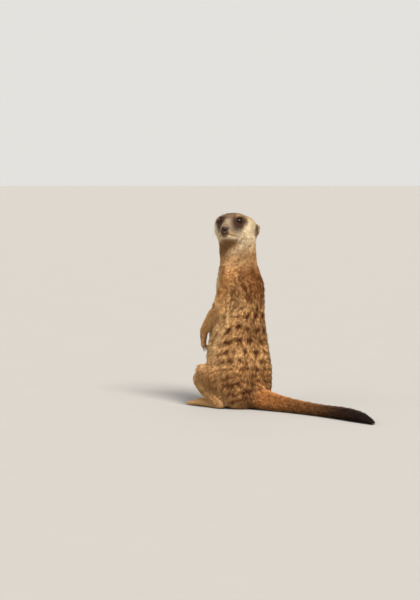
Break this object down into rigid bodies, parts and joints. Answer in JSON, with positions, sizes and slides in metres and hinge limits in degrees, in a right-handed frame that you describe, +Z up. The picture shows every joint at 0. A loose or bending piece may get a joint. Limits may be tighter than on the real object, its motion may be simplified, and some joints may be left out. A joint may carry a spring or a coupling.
{
  "type": "meerkat",
  "caption": "Life-size meerkat sitting upright on guard, forelegs hanging in front, head turned to its left, tail laid out behind on the floor.",
  "frame": {"origin": "on the floor under the hips, on the flat that the animal sits on", "axes": "+Z up; the hips face -Y and the animal's left is +X; the tail lies towards +Y"},
  "size_m": [0.0976, 0.3092, 0.2668],
  "materials": {
    "body_fur": "short coarse fur, golden tan with rows of rufous brown patches across the back",
    "limb_fur": "short fur, golden orange, browner on the hands",
    "face_fur": "very short fur, cream with dark brown eye patches",
    "tail_fur": "short fur, rufous, turning near black at the tip",
    "ear_skin": "thin dark skin with fine hair",
    "nose_leather": "moist pebbled skin",
    "eye": "wet and glossy, dark brown iris",
    "claw": "polished horn"
  },
  "bodies": {
    "root": {"head": "face_fur", "nose": "nose_leather", "neck": "body_fur", "chest": "body_fur", "abdomen": "body_fur", "tail_root": "tail_fur", "tail_middle": "tail_fur", "tail_tip": "tail_fur", "ear_left": "ear_skin", "eye_left": "eye", "upper_arm_left": "limb_fur", "forearm_left": "limb_fur", "hand_left": "limb_fur", "thigh_left": "body_fur", "shank_left": "limb_fur", "hind_foot_left": "limb_fur", "ear_right": "ear_skin", "eye_right": "eye", "upper_arm_right": "limb_fur", "forearm_right": "limb_fur", "hand_right": "limb_fur", "thigh_right": "body_fur", "shank_right": "limb_fur", "hind_foot_right": "limb_fur"}
  },
  "joints": []
}
